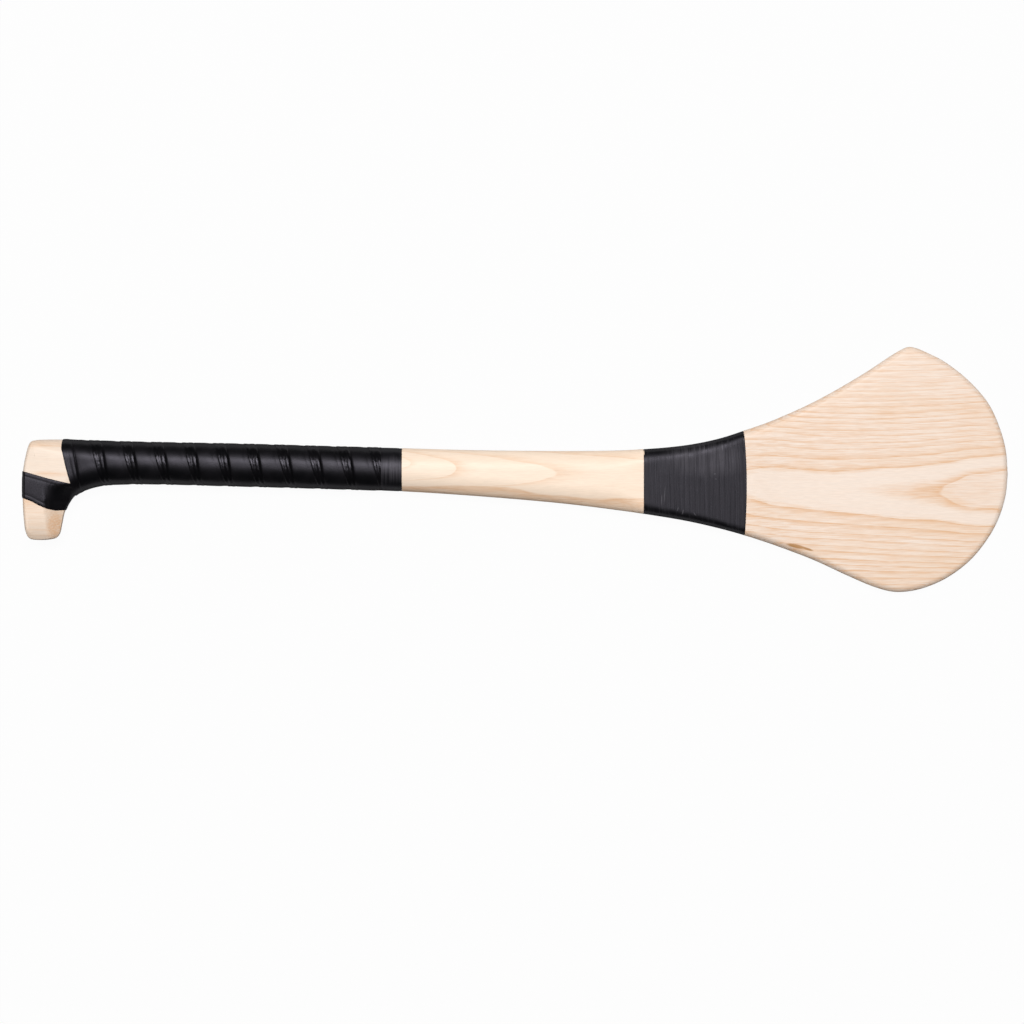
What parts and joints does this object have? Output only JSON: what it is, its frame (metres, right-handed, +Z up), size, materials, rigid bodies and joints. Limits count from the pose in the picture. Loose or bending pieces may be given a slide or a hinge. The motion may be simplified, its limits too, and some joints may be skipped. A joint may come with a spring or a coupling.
{
  "type": "hurley",
  "caption": "Hurley: one-piece ash stick with a broad flat blade, a knobbed heel, a spirally taped handle and a bound neck.",
  "frame": {"origin": "centre of the bounding box, at its bottom, where the hurley lies on a table on its back face", "axes": "+X along the stick from the butt to the toe, +Y across the blade away from the heel's knob, +Z up, through the thickness"},
  "size_m": [0.8648, 0.2152, 0.0329],
  "materials": {
    "ash": "sanded and lightly oiled pale ash, satin",
    "cushion_tape": "black cushioned polyurethane grip tape, satin",
    "vinyl_tape": "black stretched vinyl tape, satin"
  },
  "bodies": {
    "root": {"ash_body": "ash", "heel_strap": "cushion_tape", "grip_tape": "cushion_tape", "finishing_tape": "vinyl_tape", "neck_band": "vinyl_tape"}
  },
  "joints": []
}
